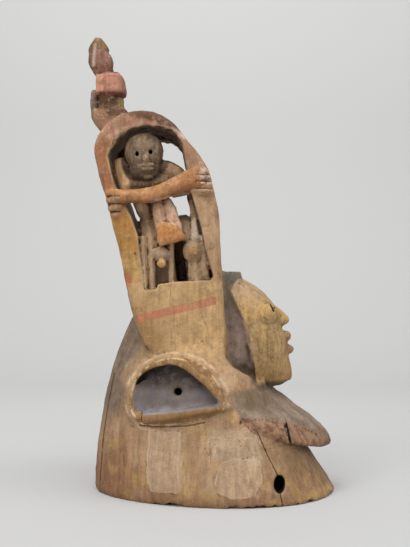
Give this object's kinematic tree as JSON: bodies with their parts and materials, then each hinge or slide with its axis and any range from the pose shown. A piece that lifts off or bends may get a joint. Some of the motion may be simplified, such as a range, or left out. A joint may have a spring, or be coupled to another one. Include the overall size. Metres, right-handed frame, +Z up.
{
  "type": "carved wooden helmet crest mask",
  "caption": "Carved and painted wooden helmet mask with half-moon eyes, a visor, a small face and an arched crest that holds figures.",
  "frame": {"origin": "middle of the bounding box on the floor, under the helmet's rim", "axes": "+X the way the visor and the big face point, +Z up, +Y to the wearer's left, the side away from the niche figure"},
  "size_m": [0.2903, 0.2386, 0.5315],
  "materials": {
    "painted_wood": "hand-carved light wood under worn ochre, red, blue-grey and dark grey earth pigments, matt with a slight polish from handling"
  },
  "bodies": {
    "root": {"crest_mask": "painted_wood"}
  },
  "joints": []
}
